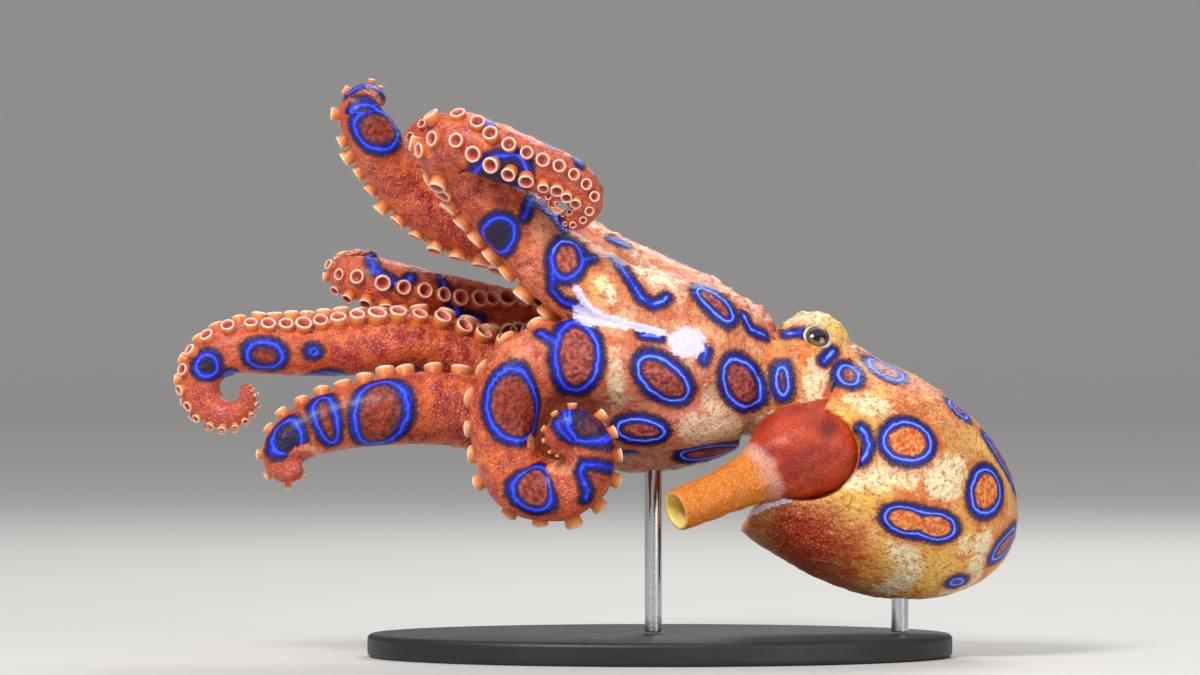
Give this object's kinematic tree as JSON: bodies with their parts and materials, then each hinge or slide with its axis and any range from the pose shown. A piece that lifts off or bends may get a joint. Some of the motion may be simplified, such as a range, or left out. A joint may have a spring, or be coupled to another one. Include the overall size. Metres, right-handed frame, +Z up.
{
  "type": "blue ringed octopus model",
  "caption": "Life-size still model of a swimming blue ringed octopus with curled arms, on an oval display base with rods.",
  "frame": {"origin": "middle of the base's underside", "axes": "+Z up; the animal faces -X, its left flank is turned towards -Y"},
  "size_m": [0.1262, 0.0657, 0.0862],
  "materials": {
    "mantle": "wet, soft gloss, mottled orange and cream with blue rings",
    "head": "wet, soft gloss, mottled yellow",
    "crown": "wet, soft gloss, mottled orange with blue rings",
    "arms": "wet, soft gloss, reddish orange with blue rings",
    "funnel": "wet, smooth, slightly see-through orange",
    "eye": "high gloss",
    "rod": "brushed",
    "base": "satin black"
  },
  "bodies": {
    "root": {"mantle": "mantle", "head": "head", "eye_left": "eye", "eye_right": "eye", "funnel": "funnel", "arm_crown": "crown", "arm_left_1_upper": "arms", "arm_left_1_middle": "arms", "arm_left_1_tip": "arms", "arm_left_2_upper": "arms", "arm_left_2_middle": "arms", "arm_left_2_lower": "arms", "arm_left_2_tip": "arms", "arm_left_3_upper": "arms", "arm_left_3_middle": "arms", "arm_left_3_lower": "arms", "arm_left_3_tip": "arms", "arm_left_4_upper": "arms", "arm_left_4_middle": "arms", "arm_left_4_tip": "arms", "arm_right_4_upper": "arms", "arm_right_4_middle": "arms", "arm_right_4_lower": "arms", "arm_right_4_end": "arms", "arm_right_4_tip": "arms", "arm_right_3_upper": "arms", "arm_right_3_middle": "arms", "arm_right_3_tip": "arms", "arm_right_2_upper": "arms", "arm_right_2_middle": "arms", "arm_right_2_tip": "arms", "arm_right_1_upper": "arms", "arm_right_1_middle": "arms", "arm_right_1_tip": "arms", "stand_base": "base", "stand_rod_mantle": "rod", "stand_rod_crown": "rod"}
  },
  "joints": []
}
